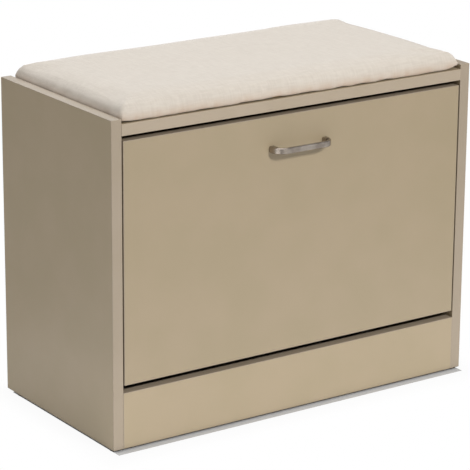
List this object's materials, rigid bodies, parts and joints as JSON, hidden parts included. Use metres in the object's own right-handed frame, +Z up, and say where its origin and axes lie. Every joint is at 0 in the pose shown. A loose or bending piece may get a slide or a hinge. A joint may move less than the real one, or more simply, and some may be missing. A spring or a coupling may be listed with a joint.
{
  "type": "entryway bench",
  "caption": "Low storage bench with a padded seat between raised sides and a tilt-out front that carries a rack for shoes.",
  "frame": {"origin": "on the floor, under the middle of the overall width and of the overall depth, handle included", "axes": "+X to the right along the width, +Y from the front to the back, +Z up"},
  "size_m": [0.6, 0.312, 0.483],
  "materials": {
    "panel": "satin",
    "hardboard": "matte",
    "rack": "satin",
    "dowel": "matte",
    "zinc": "satin",
    "nickel": "satin",
    "cheek_plastic": "matte",
    "bush_plastic": "satin",
    "glide_plastic": "matte",
    "rubber": "matte",
    "cloth": "matte",
    "foam": "matte",
    "cushion_wood": "matte",
    "hook_pad": "matte"
  },
  "bodies": {
    "cabinet": {"side_panel_left": "panel", "side_panel_right": "panel", "seat_board": "panel", "plinth": "panel", "rear_rail": "panel", "back_panel": "hardboard", "back_screws": "zinc", "dowels": "dowel", "cam_bolts": "zinc", "cam_discs": "zinc", "foot_glides": "glide_plastic", "glide_nails": "zinc", "pivot_bushes": "bush_plastic", "stop_pegs": "zinc", "stop_sleeves": "rubber", "cushion_cover": "cloth", "cushion_foam": "foam", "cushion_board": "cushion_wood", "cushion_staples": "zinc", "cushion_pads": "hook_pad"},
    "flap": {"flap_panel": "panel", "handle": "nickel", "handle_screws": "zinc", "cheek_left": "cheek_plastic", "cheek_right": "cheek_plastic", "cheek_screws": "zinc", "pivot_pins": "zinc", "rack_floor": "rack", "rack_divider": "rack", "rack_back": "rack"}
  },
  "joints": [
    {"name": "flap_tilt", "type": "hinge", "parent": "cabinet", "child": "flap", "pos_m": [0, -0.113, 0.116], "axis": [1, 0, 0], "range_deg": [0, 45]}
  ]
}
